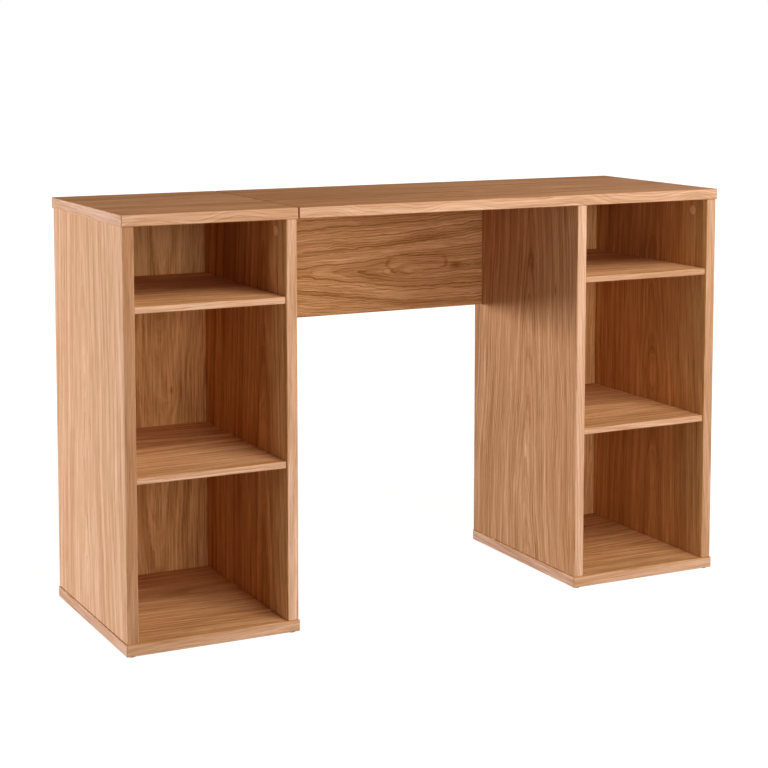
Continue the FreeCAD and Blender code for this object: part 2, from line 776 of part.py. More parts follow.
os.makedirs("parts", exist_ok=True)
for node in nodes:
    node.Shape.exportStep(f"parts/{node.Label}.step")
    print(node.Label, len(node.Shape.Solids), "solids")
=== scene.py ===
# %% [markdown]
# # A storage desk in printed oak
#
# This lesson dresses a flat-packed desk for its portrait. The solids come ready made, in metres,
# and stay where they are. What is added here is the finish of each board, the studio round the
# desk, and finer bodies for the small round pieces that a maker would notice.

# %% Load the solids
import math

import bmesh
import bpy
import numpy as np
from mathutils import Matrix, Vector


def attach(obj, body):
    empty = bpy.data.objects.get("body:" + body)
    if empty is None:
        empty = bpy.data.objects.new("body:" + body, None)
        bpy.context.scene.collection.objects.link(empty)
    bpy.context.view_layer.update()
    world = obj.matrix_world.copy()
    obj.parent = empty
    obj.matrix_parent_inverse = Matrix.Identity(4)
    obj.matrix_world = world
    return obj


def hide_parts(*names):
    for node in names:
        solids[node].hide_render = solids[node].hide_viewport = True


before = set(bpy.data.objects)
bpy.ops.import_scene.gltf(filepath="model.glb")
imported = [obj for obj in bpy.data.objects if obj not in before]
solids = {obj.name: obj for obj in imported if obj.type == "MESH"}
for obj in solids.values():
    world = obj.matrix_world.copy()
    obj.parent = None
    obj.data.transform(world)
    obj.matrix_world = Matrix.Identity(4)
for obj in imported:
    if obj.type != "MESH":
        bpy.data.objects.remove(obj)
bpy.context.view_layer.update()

# %% [markdown]
# The picture was taken with a long lens from the left of the desk and a little above its surface.
# The place, turn and lens below came from fitting the desk's straight edges, so they are plain
# numbers. A vertical shift keeps the uprights nearly parallel, as a product camera does.

# %% Camera
lens = bpy.data.cameras.new("camera")
lens.sensor_width = 36
lens.lens = 86.714
lens.shift_x = 0.0050
lens.shift_y = -0.2135

camera = bpy.data.objects.new("camera", lens)
camera.location = (-1.5806, -3.0881, 1.0375)
camera.rotation_euler = (1.4734, 0, -0.4658)
bpy.context.scene.collection.objects.link(camera)
bpy.context.scene.camera = camera
print("camera", round(camera.location.length, 2), "m from the origin")

# %% [markdown]
# Every finish below is a small sum: so much for the growth rings, so much for the pores. Blender
# writes such sums as Math nodes. Wiring them by hand is slow to read, so one class wraps a node's
# output and lets Python's own signs add the nodes.

# %% Shader sums as Python
class Wire:
    """One output of a shader node. A sign between two wires, or a wire and a number, adds a node."""

    def __init__(self, finish, socket):
        self.finish = finish
        self.socket = socket

    def math(self, operation, *others):
        """A Math node on this wire and then the others."""
        return self.finish.node("ShaderNodeMath", {"operation": operation}, [self, *others])

    def after(self, operation, first):
        """A Math node on a number and then this wire."""
        return self.finish.node("ShaderNodeMath", {"operation": operation}, [first, self])

    def __add__(self, other):
        return self.math("ADD", other)

    def __sub__(self, other):
        return self.math("SUBTRACT", other)

    def __mul__(self, other):
        return self.math("MULTIPLY", other)

    def __truediv__(self, other):
        return self.math("DIVIDE", other)

    def __pow__(self, other):
        return self.math("POWER", other)

    def __mod__(self, other):
        return self.math("FLOORED_MODULO", other)

    def __gt__(self, other):
        return self.math("GREATER_THAN", other)

    def __lt__(self, other):
        return self.math("LESS_THAN", other)

    def __neg__(self):
        return self.math("MULTIPLY", -1)

    def __abs__(self):
        return self.math("ABSOLUTE")

    def __radd__(self, other):
        return self.after("ADD", other)

    def __rsub__(self, other):
        return self.after("SUBTRACT", other)

    def __rmul__(self, other):
        return self.after("MULTIPLY", other)

    def __rtruediv__(self, other):
        return self.after("DIVIDE", other)

    def __rpow__(self, other):
        return self.after("POWER", other)

    def __rmod__(self, other):
        return self.after("FLOORED_MODULO", other)

    def step(self, low, high):
        """0 below low, 1 above high, and a smooth rise between them."""
        settings = {"interpolation_type": "SMOOTHSTEP"}
        return self.finish.node("ShaderNodeMapRange", settings, [self, low, high, 0.0, 1.0])


print("a wire knows", len([name for name in vars(Wire) if name.startswith("__r")]), "reflected signs")

# %% [markdown]
# Noise, ramps and shaders are no sums. All of them have a type, a few settings and some inputs, so
# one method can make any of them. It belongs to a second class, which holds one material.

# %% One method for every node
class Finish:
    """One material, or the world, made of nodes."""

    def __init__(self, name, kind=bpy.data.materials):
        self.material = kind.new(name)
        self.material.use_nodes = True
        self.tree = self.material.node_tree
        self.tree.nodes.clear()

    def node(self, kind, settings=(), inputs=(), output=0):
        """Adds a node, sets it up, then gives its inputs values or wires. Returns its output."""
        node = self.tree.nodes.new(kind)
        for name, value in dict(settings).items():
            if name == "stops":
                ramp = node.color_ramp.elements
                while len(ramp) < len(value):
                    ramp.new(0.5)
                for stop, (place, colour) in zip(ramp, value):
                    stop.position, stop.color = place, colour
            else:
                setattr(node, name, value)
        pairs = inputs.items() if isinstance(inputs, dict) else enumerate(inputs)
        for key, value in pairs:
            if isinstance(value, Wire):
                self.tree.links.new(value.socket, node.inputs[key])
            else:
                node.inputs[key].default_value = value
        if isinstance(output, (list, tuple)):
            return [Wire(self, node.outputs[key]) for key in output]
        return Wire(self, node.outputs[output]) if len(node.outputs) else None

    def surface(self, **values):
        """Ends the material in a Principled surface, whose inputs are named with low lines."""
        inputs = {
            name.replace("_", " ").title().replace("Ior", "IOR"): value
            for name, value in values.items()
        }
        shader = self.node("ShaderNodeBsdfPrincipled", inputs=inputs)
        self.node("ShaderNodeOutputMaterial", inputs=[shader])
        return self.material


print("materials before the first finish:", len(bpy.data.materials))

# %% [markdown]
# A colour in a photograph is written in steps from 0 to 255 that follow the eye, while a renderer
# adds up light. The conversion below goes from one to the other. Printed board is made from one
# brown and its lighter and darker neighbours, so the oak is a ramp of tones round that brown.

# %% Colours of the board
def light(red, green, blue):
    """The linear colour of steps from 0 to 255: a straight line below 4%, else a power of 2.4."""
    share = np.clip(np.array([red, green, blue], float) / 255, 0, 1)
    linear = np.where(share <= 0.04045, share / 12.92, ((share + 0.055) / 1.055) ** 2.4)
    return (*linear.tolist(), 1.0)


# OAK is the print's own brown. The next two are lit and shaded copies of it: the shaded brown is
# richer, as painted shade on the boards that stand in the shade, and the lit brown is paler and
# bluer, as painted light on the side that faces the lamps. The knee side's brown lies between them,
# as painted light and shade for a side that is lit below and shaded above. The tops' brown is redder,
# which offsets the pale sheen that they catch, and the bands' brown is paler and bluer, which offsets
# the warm lamps before the desk.
OAK = (203, 151, 106)  # bases, shelves and the panel between the towers
PAINTED_SHADE_BROWN = (203, 150, 97)  # boards that stand in the shade
PAINTED_LIGHT_BROWN = (204, 154, 116)  # the side that faces the light
KNEE = (203, 154, 114)  # the side beside the knees
TABLE = (204, 146, 104)  # the two tops
BAND = (214, 170, 142)  # the bands on all edges
FADING = (1.0, 1.4, 2.0)
TONES = range(-105, 61, 15)


def oak_stops(brown):
    """The ramp's stops. A tone makes the red lighter or darker by that many steps, as a factor, and
    green and blue follow by the factor to the power of their fading, so dark streaks are richer."""
    full = light(*brown)
    stops = []
    for tone in TONES:
        factor = light(brown[0] + tone, 0, 0)[0] / full[0]
        colour = [channel * factor**power for channel, power in zip(full, FADING)]
        stops.append(((tone - TONES[0]) / (TONES[-1] - TONES[0]), (*colour, 1.0)))
    return stops


print("oak ramp from", oak_stops(OAK)[0][1][:3], "to", oak_stops(OAK)[-1][1][:3])

# %% [markdown]
# The boards are covered with a printed oak sheet, and each edge with a narrow band of the same
# print that runs along the edge. So every point needs to know where it lies on its own sheet:
# across the grain, along it, and on which sheet. The face's direction settles that.

# %% Places on the printed sheets
FACING = 0.72  # a bevel at 45 degrees stays with the face
EDGE_SHIFT = (0.11, 0.9)
END_SHIFT = (0.23, 1.7)


def sheet_places(finish, grain, seed):
    """Places across and along the grain, and a third that tells the sheets of a board apart.

    grain names the board's axes across, along and through. On a long edge the place across is
    taken through the board, and on an end the grain also turns to run along that end. Both are
    shifted by so many metres across and along, so no edge repeats its face.
    """
    spot, facing = finish.node("ShaderNodeTexCoord", output=["Object", "Normal"])
    spots = finish.node("ShaderNodeSeparateXYZ", inputs=[spot], output=[0, 1, 2])
    facings = finish.node("ShaderNodeSeparateXYZ", inputs=[facing], output=[0, 1, 2])
    across, along, through = (spots["xyz".index(axis)] for axis in grain)
    edge, end = (abs(facings["xyz".index(axis)]) > FACING for axis in grain[:2])
    face = 1 - edge - end
    u = across * face + through * (1 - face) + edge * EDGE_SHIFT[0] + end * END_SHIFT[0]
    v = along * (1 - end) + across * end + edge * EDGE_SHIFT[1] + end * END_SHIFT[1]
    return u, v, through * face + seed, 1 - face


def patches(finish, u, v, w, per_metre, detail=2.0, rough=0.55):
    """Soft noise about a half, with so many patches per metre across and along the grain."""
    across, along = per_metre
    spot = finish.node("ShaderNodeCombineXYZ", inputs=[u * across, v * along, w * 3.1])
    return finish.node(
        "ShaderNodeTexNoise",
        {"noise_dimensions": "3D"},
        {"Vector": spot, "Scale": 1.0, "Detail": detail, "Roughness": rough},
    )


print("the print of an edge is shifted by", EDGE_SHIFT, "m, and that of an end by", END_SHIFT, "m")

# %% [markdown]
# A board sawn off the side of a log shows arches up its middle and straight lines beside them.
# Both come from one fact: a log is a stack of slim cones, and the saw cuts them at some depth.
# So the rings are drawn as that cut, bent by noise and lifted in a few places, which closes them
# into the ovals and knots of the print.

# %% Growth of the log
def hill(u, v, middle, size):
    """A smooth hill of height 1: e to the power of minus the squared distance in its own widths."""
    a = (u - middle[0]) / size[0]
    b = (v - middle[1]) / size[1]
    return (-(a * a + b * b)).math("EXPONENT")


WANDER, SWING, SHIVER = 0.05, 0.012, 0.007  # how far noise bends the rings, in metres


def growth(finish, u, v, w, heart, lean, depth, taper, unrest, ovals):
    """How far from the pith a point grew: the root of (distance from the heart line squared plus
    depth squared), less the taper times the height. The heart line leans to the side by a share of
    the height and wanders. Slow and quick noise, times the unrest, and the hills of the ovals are
    added."""
    wander = patches(finish, 0 * u, v, w, (0, 2.2), 1.0) - 0.5
    swing = patches(finish, u, v, w + 5, (14, 4.0), 2.0) - 0.5
    shiver = patches(finish, u, v, w + 7, (60, 38), 2.0) - 0.5
    aside = u - heart - v * lean + wander * WANDER
    bend = (swing * SWING + shiver * SHIVER) * unrest
    grown = (aside * aside + depth**2) ** 0.5 - v * taper + bend
    for middle, size, height in ovals:
        grown = grown + hill(u, v, middle, size) * height
    return grown


print("noise bends the rings by up to", round((SWING + SHIVER) * 500, 1), "mm each way")

# %% [markdown]
# A year of growth starts pale and ends in a dark line, so the distance from the pith, counted in
# years, gives the line by its fraction alone. Years differ, and no print shows each line all the
# way along, so noise moves and fades the lines. An eye in the print also has a dark line round it.

# %% Growth rings and outlined eyes
LATE_WOOD, YEAR_END = 0.55, 0.93  # a year's ring darkens between these shares of the year
UNEVEN = 2.2  # good and bad years shift the rings by up to about half as many years


def rings(finish, grown, u, v, w, spacing):
    """Dark lines, one a year: each darkens slowly and ends sharply. A line's strength is its own
    times the place's, which are both noise: a quarter to 1, and two fifths to 1."""
    years = grown / spacing + 50
    years = years + (patches(finish, years, 0 * v, w + 3, (0.35, 1), 1.0) - 0.5) * UNEVEN
    turn = years % 1.0
    strength = patches(finish, years - turn, 0 * v, w + 8, (0.77, 1), 0.0).step(0.33, 0.66)
    shown = patches(finish, u, v, w + 9, (14, 3.0), 2.0).step(0.34, 0.62)
    line = turn.step(LATE_WOOD, YEAR_END) * (1 - turn.step(YEAR_END, 1.0))
    return line * (0.25 + strength * 0.75) * (0.4 + shown * 0.6)


def outline(hill_height, level=0.42, width=0.08):
    """1 where a hill passes a level, and 0 from so much above or below it: a line round an eye."""
    return 1 - (abs(hill_height - level) / width).step(0.0, 1.0)


print("a year's line takes", round((1 - LATE_WOOD) * 100), "percent of its year")

# %% [markdown]
# The finish of a board adds all of this up as tones: broad patches and streaks that follow the
# growth, fine streaks that run straight, short dark pores, and the rings. The edge bands are the
# same print in a paler brown. The print is matt and its relief is far less than a millimetre.

# %% The printed oak of one board
# Steps of tone from 0 to 255 that each part of the print adds or takes
BROAD, STREAKS, FINE, PORES, KNOT, EYE = 30, 105, 95, 14, 48, 28
EYE_DRIFT, EYE_STRAY = 60, 0.022  # how far noise shades an eye's line, and moves it in metres
MEAN = 7  # lifts the sum, whose dark parts outweigh its light ones
CALM = 0.3  # the share of contrast that the edge bands lack


def oak(
    name, grain, seed, heart=0.0, lean=0.0, depth=0.03, taper=0.06, spacing=0.006, unrest=0.6,
    brown=OAK, tone=0, band_light_and_shade=0, contrast=1.0, figure=13, ovals=(), knots=(), eyes=(),
):
    """The printed oak of one board. Its tone is a sum that the ramp colours: broad patches plus
    streaks plus fine streaks, less pores and rings, times the contrast, plus the board's tone."""
    finish = Finish(name)
    u, v, w, band = sheet_places(finish, grain, seed)
    grown = growth(finish, u, v, w, heart, lean, depth, taper, unrest, ovals)
    # Each noise is shifted on w, so none repeats another, and has its own patches per metre
    broad = patches(finish, grown, v, w + 11, (10, 0.8), 1.0) - 0.5
    streaks = patches(finish, grown, v, w + 2, (90, 1.7), 4.0, 0.68) - 0.5
    fine = patches(finish, u, v, w + 4, (480, 9), 3.0, 0.65) - 0.5
    pores = patches(finish, u, v, w + 6, (800, 26), 1.0).step(0.58, 0.70)
    lines = rings(finish, grown, u, v, w, spacing)
    print_sum = broad * BROAD + streaks * STREAKS + fine * FINE - pores * PORES - lines * figure
    # The board's tone is partly the print's own and partly painted light, which lifts the boards that
    # stand in the shade. The bands' tone is painted light and shade alone: it differs by up to 33
    # steps from board to board, though all the bands are one print.
    level = print_sum * contrast * (1 - band * CALM) + band * (band_light_and_shade - tone) + (tone + MEAN)
    for middle, size in knots:
        level = level - hill(u, v, middle, size) * KNOT
    for middle, size in eyes:
        ripple = patches(finish, u, v, w + 13, (45, 22), 2.0) - 0.5
        shape = hill(u + ripple * EYE_STRAY, v, middle, size)
        level = level - outline(shape) * (EYE + ripple * EYE_DRIFT)
    share = (level - TONES[0]) / (TONES[-1] - TONES[0])
    print_colour, band_colour = (
        finish.node("ShaderNodeValToRGB", {"stops": oak_stops(middle_brown)}, [share])
        for middle_brown in (brown, BAND)
    )
    colour = finish.node(
        "ShaderNodeMix", {"data_type": "RGBA"}, {0: band, 6: print_colour, 7: band_colour}, 2
    )
    relief = pores * -1.0 + fine * 0.8 + streaks * 0.5
    bump = finish.node(
        "ShaderNodeBump", inputs={"Strength": 0.25, "Distance": 0.0003, "Height": relief}
    )
    return finish.surface(
        base_color=colour,
        roughness=0.74 + pores * 0.15 - streaks * 0.2,
        normal=bump,
        specular_ior_level=0.015,
    )


print("tones run from", TONES[0], "to", TONES[-1], "steps")

# %% [markdown]
# Each board has its own sheet, so each gets its own heart line, taper and seed. The sides and the
# backs of the towers are cut with the grain up. Where the print has an oval or a knot that the eye
# catches, it is placed at (across, along) in metres.
#
# The browns and the tones were set by comparing each board in the render with the picture. So they
# also make up for light that the lamps don't give, and aren't what a sample of the board would
# measure. That shows from behind, where the backs are yellower than the sides.

# %% Finishes of the uprights
UP_SIDE = ("y", "z", "x")
UP_BACK = ("x", "z", "y")

boards = {
    # The side that faces the lamps takes the lit brown as painted light, and its band's tone of -27
    # is painted shade.
    "left_outer_side": oak(
        "outer side left", UP_SIDE, 1.3, heart=0.02, taper=-0.05, brown=PAINTED_LIGHT_BROWN, tone=12,
        band_light_and_shade=-27, contrast=0.95, figure=16,
    ),
    "left_inner_side": oak(
        "inner side left", UP_SIDE, 7.9, heart=-0.09, taper=-0.05, brown=PAINTED_SHADE_BROWN, tone=-3, band_light_and_shade=2,
        contrast=1.5,
    ),
    "right_inner_side": oak(
        "inner side right", UP_SIDE, 21.3, heart=-0.02, taper=-0.055, brown=KNEE, tone=-6,
        band_light_and_shade=6, contrast=1.05, figure=34,
        ovals=[((-0.139, 0.295), (0.03, 0.09), -0.014)],
        knots=[((-0.118, 0.562), (0.0022, 0.010))],
    ),
    "right_outer_side": oak(
        "outer side right", UP_SIDE, 11.1, heart=-0.02, taper=-0.045, brown=PAINTED_SHADE_BROWN, tone=8,
        band_light_and_shade=-10, contrast=1.25,
        ovals=[((-0.015, 0.365), (0.03, 0.06), -0.015), ((-0.024, 0.159), (0.02, 0.045), -0.013)],
    ),
    # The backs stand in the shade, and their tones of 19 and 36 steps are painted light.
    "left_back_panel": oak(
        "back left", UP_BACK, 5.2, heart=-0.40, taper=0.05, brown=PAINTED_SHADE_BROWN, tone=19, contrast=1.6,
        ovals=[((-0.376, 0.373), (0.018, 0.04), -0.012)],
        knots=[((-0.376, 0.373), (0.003, 0.007))],
    ),
    "right_back_panel": oak(
        "back right", UP_BACK, 9.4, heart=0.40, taper=0.05, brown=PAINTED_SHADE_BROWN, tone=36, contrast=1.6
    ),
}
print(len(boards), "uprights finished")

# %% [markdown]
# The tops, the bases, the shelves and the panel between the towers have their grain along the
# desk. That panel shows the largest figure, an eye with a dark line round it. The arcs on the
# front edges of the tops are ovals too: the edge cuts them off, as a saw does on a real board.

# %% Finishes of the tops, bases, shelves and the panel
FLAT = ("y", "x", "z")
HANGING = ("z", "x", "y")

# These tones are partly painted light and shade too: the shelves, which stand in the shade of the
# towers, are lifted by 6 to 10 steps, and the bands of the bases are 5 steps darker as painted shade.
boards |= {
    "left_top": oak(
        "top left", FLAT, 2.6, heart=0.03, taper=0.05, brown=TABLE, tone=5, contrast=1.1, figure=30,
        ovals=[((0.845, 0.335), (0.024, 0.06), -0.024), ((0.86, 0.50), (0.022, 0.06), -0.014)],
    ),
    "main_top": oak(
        "top right", FLAT, 6.1, heart=-0.02, taper=-0.04, brown=TABLE, contrast=1.1, figure=30,
        ovals=[((0.845, place), (0.024, 0.06), -0.024) for place in (0.676, 0.93, 1.464)]
        + [((0.86, place), (0.022, 0.06), -0.014) for place in (0.80, 1.20)],
    ),
    "left_base": oak(
        "base left", FLAT, 4.4, heart=0.05, taper=0.05, tone=2, band_light_and_shade=-5, contrast=1.25
    ),
    "right_base": oak(
        "base right", FLAT, 8.3, heart=-0.05, taper=0.05, tone=2, band_light_and_shade=-5, contrast=1.25
    ),
    "left_upper_shelf": oak(
        "upper shelf left", FLAT, 10.2, heart=0.0, taper=0.05, tone=10, contrast=1.4
    ),
    "left_lower_shelf": oak(
        "lower shelf left", FLAT, 12.7, heart=0.04, taper=-0.05, tone=10, contrast=1.4
    ),
    "right_upper_shelf": oak(
        "upper shelf right", FLAT, 13.9, heart=0.0, taper=0.05, tone=6, contrast=1.4
    ),
    "right_lower_shelf": oak(
        "lower shelf right", FLAT, 15.1, heart=-0.06, taper=-0.05, tone=10, contrast=1.4
    ),
    "modesty_panel": oak(
        "panel between", HANGING, 17.8, heart=0.583, lean=0.02, depth=0.008, taper=0.065,
        spacing=0.0055, unrest=1.2, tone=7, contrast=1.35, figure=44,
        ovals=[((0.588, 0.130), (0.026, 0.070), -0.018)],
        knots=[((0.584, 0.225), (0.006, 0.012))],
        eyes=[((0.592, 0.1355), (0.0205, 0.072))],
    ),
}
for name, material in boards.items():
    solids[name].data.materials.clear()
    solids[name].data.materials.append(material)
print(len(boards), "boards covered")

# %% [markdown]
# The fittings have four finishes. Zinc plate is a bright metal with faint lines from its turning,
# cover caps are plastic in the colour of the board, made paler here as painted light for the light
# that their domes catch, the glides are dark plastic with a fine moulded grain, and the pegs are
# plain beech with short flecks.

# %% Finishes of the fittings
def grains(finish, per_metre, detail=2.0):
    """Noise about a half in all directions, with so many grains per metre."""
    spot = finish.node("ShaderNodeTexCoord", output="Object")
    inputs = {"Vector": spot, "Scale": per_metre, "Detail": detail}
    return finish.node("ShaderNodeTexNoise", {"noise_dimensions": "3D"}, inputs)


def zinc_plate():
    """Bright zinc: its grey drifts in clouds a few millimetres wide, its gloss in finer ones."""
    finish = Finish("zinc plate")
    cloud, scratch = grains(finish, 350, 3.0), grains(finish, 2400)
    stops = [(0.3, light(168, 170, 173)), (0.7, light(212, 213, 216))]
    colour = finish.node("ShaderNodeValToRGB", {"stops": stops}, [cloud])
    bump = finish.node(
        "ShaderNodeBump", inputs={"Strength": 0.15, "Distance": 0.0001, "Height": scratch}
    )
    roughness = 0.22 + scratch * 0.25
    return finish.surface(base_color=colour, metallic=1.0, roughness=roughness, normal=bump)


def moulded(name, colour, spread, per_metre, roughness):
    """Moulded plastic: one colour that drifts by a few steps, under a fine even grain."""
    finish = Finish(name)
    drift, grain = grains(finish, 180, 2.0), grains(finish, per_metre)
    darker, lighter = (light(*(step + side * spread for step in colour)) for side in (-1, 1))
    stops = [(0.3, darker), (0.7, lighter)]
    tinted = finish.node("ShaderNodeValToRGB", {"stops": stops}, [drift])
    bump = finish.node(
        "ShaderNodeBump", inputs={"Strength": 0.3, "Distance": 0.00008, "Height": grain}
    )
    return finish.surface(base_color=tinted, roughness=roughness + grain * 0.12, normal=bump)


def beech():
    """Plain beech: a pale pink brown with short darker flecks."""
    finish = Finish("beech")
    cloud, fleck = grains(finish, 120), grains(finish, 1500).step(0.58, 0.7)
    stops = [(0.0, light(170, 128, 92)), (1.0, light(216, 180, 140))]
    colour = finish.node("ShaderNodeValToRGB", {"stops": stops}, [cloud - fleck * 0.25])
    bump = finish.node(
        "ShaderNodeBump", inputs={"Strength": 0.2, "Distance": 0.0001, "Height": fleck}
    )
    return finish.surface(base_color=colour, roughness=0.6 + fleck * 0.1, normal=bump)


zinc, wooden = zinc_plate(), beech()
# The caps' plastic is paler than the board: painted light, for the light that their low domes catch.
cap = moulded("cover cap", (250, 198, 152), 5, 5200, 0.3)
foot = moulded("glide", (46, 36, 31), 6, 4200, 0.42)
print("fittings are finished in", [material.name for material in (zinc, wooden, cap, foot)])

# %% [markdown]
# The dowels, bolts, locks and brackets keep the shape of their solids, because nearly all of them
# sit inside the boards. They only need a finish: beech for the dowels, zinc for the rest. The sets
# that are drawn anew further down are covered here as well, which does no harm.

# %% Cover the solids that stay
for name, solid in solids.items():
    if name not in boards:
        solid.data.materials.clear()
        solid.data.materials.append(wooden if name.endswith("dowels") else zinc)
print(len(solids) - len(boards), "sets of fittings covered")

# %% [markdown]
# The small round pieces are drawn in the solids with few sides. Here they become true turned
# bodies. A turned body is a function of two parameters: how far along its profile, and how far
# round. numpy works out the whole grid at once, and the faces join each point to its neighbours.
# A cylinder from Blender's own menu would be quicker, but has no dome, recess or rounded rim.

# %% Turned bodies
def turned(profile, sides, drive=None):
    """Points and faces of a profile of (radius, height) carried round the height axis.

    A point is (radius times cosine of the turn, radius times sine of the turn, height). A drive is
    a function of the turn, which gives the radius of the recess wherever the profile's radius is
    below 0.
    """
    radius, height = (np.array(values)[:, None] for values in zip(*profile))
    turn = np.arange(sides)[None] * 2 * np.pi / sides
    if drive is not None:
        radius = np.where(radius < 0, drive(turn), radius)
    points = np.stack([radius * np.cos(turn), radius * np.sin(turn), height + 0 * turn], -1)
    ring, place = np.meshgrid(np.arange(len(profile) - 1), np.arange(sides), indexing="ij")
    low, high = ring * sides, ring * sides + sides
    after = (place + 1) % sides
    faces = np.stack([low + place, low + after, high + after, high + place], -1)
    return points.reshape(-1, 3), faces.reshape(-1, 4)


def arc(middle, radius, start, stop, steps=6):
    """Profile points on a round corner: the middle plus the radius times cosine and sine."""
    angles = np.radians(np.linspace(start, stop, steps))
    return list(zip(middle[0] + radius * np.cos(angles), middle[1] + radius * np.sin(angles)))


def laid(points, place, axis, forward=True):
    """Points turned from the height axis to run along an axis, or against it, from a place."""
    order = {"x": [2, 0, 1], "y": [1, 2, 0], "z": [0, 1, 2]}[axis]
    if not forward:
        points = points * (1, -1, -1)
    return points[:, order] + np.array(place)


print("48 sides are round to", round(8.8 * (1 - math.cos(math.pi / 48)), 3), "mm on a cover")

# %% [markdown]
# One object holds a whole set of fittings, because they share one finish. It rides on the desk's
# only body, stands for the solids that it replaces, and has one material slot, for the set's
# finish.

# %% Put a set of fittings in place
def fitting(node, body, places, material):
    """One object that repeats a body at each (place, axis, forward) and replaces a node."""
    points, faces = body
    mesh = bpy.data.meshes.new(node + "_body")
    all_points = np.concatenate([laid(points, *place) for place in places])
    all_faces = np.concatenate([faces + i * len(points) for i in range(len(places))])
    mesh.from_pydata(all_points.tolist(), [], all_faces.tolist())
    work = bmesh.new()
    work.from_mesh(mesh)
    bmesh.ops.remove_doubles(work, verts=work.verts, dist=1e-7)
    work.to_mesh(mesh)
    work.free()
    mesh.polygons.foreach_set("use_smooth", np.ones(len(mesh.polygons), bool))
    mesh.set_sharp_from_angle(angle=math.radians(35))
    mesh.materials.append(material)
    piece = bpy.data.objects.new(node + "_turned", mesh)
    bpy.context.scene.collection.objects.link(piece)
    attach(piece, "root")
    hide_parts(node)
    print(node, len(places), "times,", len(mesh.polygons), "faces")


# Places are in metres: x of the sides' inner faces and of their middles, and y of the fasteners
INNER_FACES = {"left": (-0.581, -0.306), "right": (0.306, 0.581)}
SIDE_MIDDLES = {"left": (-0.591, -0.296), "right": (0.296, 0.591)}
BOLT_LINES = (-0.148, 0.146)
walls = {tower: [(low, True), (high, False)] for tower, (low, high) in INNER_FACES.items()}
print("inner faces of the towers at x =", INNER_FACES)

# %% [markdown]
# The round covers hide the cam locks. A real one is moulded: a rim with a rounded edge, and a low
# dome that catches a crescent of light. The dome's height falls with the square of the radius.

# %% Cover caps
def dome(edge, low, high, steps=8):
    """Profile points from the edge to the middle: low plus the rise times one less the square of
    the radius over the edge's radius."""
    radius = np.linspace(edge, 0, steps)
    return list(zip(radius, low + (high - low) * (1 - (radius / edge) ** 2)))


COVER_EDGE = 0.0088
COVER_HEIGHT = 0.706
PANEL_BACK, PANEL_COVER_HEIGHT, PANEL_COVERS = 0.1785, 0.6145, (-0.262, 0.262)

rim = [(0, 0), (COVER_EDGE, 0)] + arc((COVER_EDGE, 0.0002), 0.0002, -80, 60, 4)
cover = turned(rim + dome(COVER_EDGE, 0.0004, 0.0016), 48)
for tower, both in walls.items():
    places = [((x, y, COVER_HEIGHT), "x", forward) for x, forward in both for y in BOLT_LINES]
    fitting(f"{tower}_cam_covers", cover, places, cap)
places = [((x, PANEL_BACK, PANEL_COVER_HEIGHT), "y", True) for x in PANEL_COVERS]
fitting("modesty_cam_covers", cover, places, cap)

# %% [markdown]
# Four steel pins carry each shelf. Half of a pin sits in the side, and the half that shows ends in
# a dome. Their profile is a straight line between two rounded ends.

# %% Shelf pins
PIN_HEIGHTS = {"upper": 0.581, "lower": 0.292}
PIN_LINES = (-0.149, 0.147)

pin = turned(
    [(0, -0.008), (0.0021, -0.008), (0.0025, -0.0075), (0.0025, 0.0066)]
    + arc((0.0011, 0.0066), 0.0014, 0, 90) + [(0, 0.008)],
    32,
)
for tower, both in walls.items():
    for level, z in PIN_HEIGHTS.items():
        places = [((x, y, z), "x", forward) for x, forward in both for y in PIN_LINES]
        fitting(f"{tower}_{level}_shelf_pins", pin, places, zinc)

# %% [markdown]
# The thin back panels are nailed on. Only the low round heads show, so a nail's shaft is a plain
# line down to a point, and its head is a thin disc with a domed top.

# %% Nails of the back panels
NAILED_FACE = 0.195
NAIL_HEIGHTS = np.linspace(0.0475, 0.705, 4)

nail = turned(
    [(0, -0.020), (0.0008, -0.0182), (0.0008, 0), (0.0016, 0), (0.0018, 0.00015)]
    + dome(0.0017, 0.0003, 0.0008, 5),
    20,
)
for tower, middles in SIDE_MIDDLES.items():
    places = [((x, NAILED_FACE, z), "y", True) for x in middles for z in NAIL_HEIGHTS]
    fitting(f"{tower}_back_nails", nail, places, zinc)

# %% [markdown]
# A small plastic glide under each corner of a base keeps the board off the floor. It is nailed
# up into the base: a disc with a rounded lower edge, and a pin that disappears in the board.

# %% Glides
GLIDE_LINES = (-0.184, 0.180)

glide = turned(
    [(0, 0), (0.0066, 0)] + arc((0.0066, 0.0013), 0.0013, -90, -10)
    + [(0.008, 0.0019), (0.008, 0.0025), (0.0012, 0.0025), (0.0012, 0.0132), (0, 0.0145)],
    48,
)
for tower, middles in SIDE_MIDDLES.items():
    places = [((x, y, 0), "z", True) for x in middles for y in GLIDE_LINES]
    fitting(f"{tower}_glides", glide, places, foot)

# %% [markdown]
# The screws need a drive, or they would be plain pins. A hexagon and a cross are both a radius that
# depends on the turn alone, so the same turned body makes them: the profile marks the recess with
# a negative radius, and the drive's formula takes over there.

# %% Drives of the screws
def hexagon(turn, flat=0.0021):
    """Distance to a flat side: the flat's distance over the cosine of the angle to its middle."""
    return flat / np.cos((turn % (np.pi / 3)) - np.pi / 6)


def cross(turn, reach=0.0021, half_arm=0.00055):
    """Distance to an arm's side, half its width over the sine of the angle to it, or to its end."""
    aside = np.abs((turn + np.pi / 4) % (np.pi / 2) - np.pi / 4)
    return np.minimum(reach, half_arm / np.sin(np.maximum(aside, 0.01)))


print("the hexagon is", round(hexagon(0.0) * 2000, 2), "mm over its corners")

# %% [markdown]
# Three of the sets have such heads. Long screws hold each side down on its base, from below. The
# short ones hold the two steel angles under the left end of the long top, one screw in each leg.

# %% Screws
SCREW_SEAT = 0.0058
BRACKET_LINES = (-0.09, 0.09)

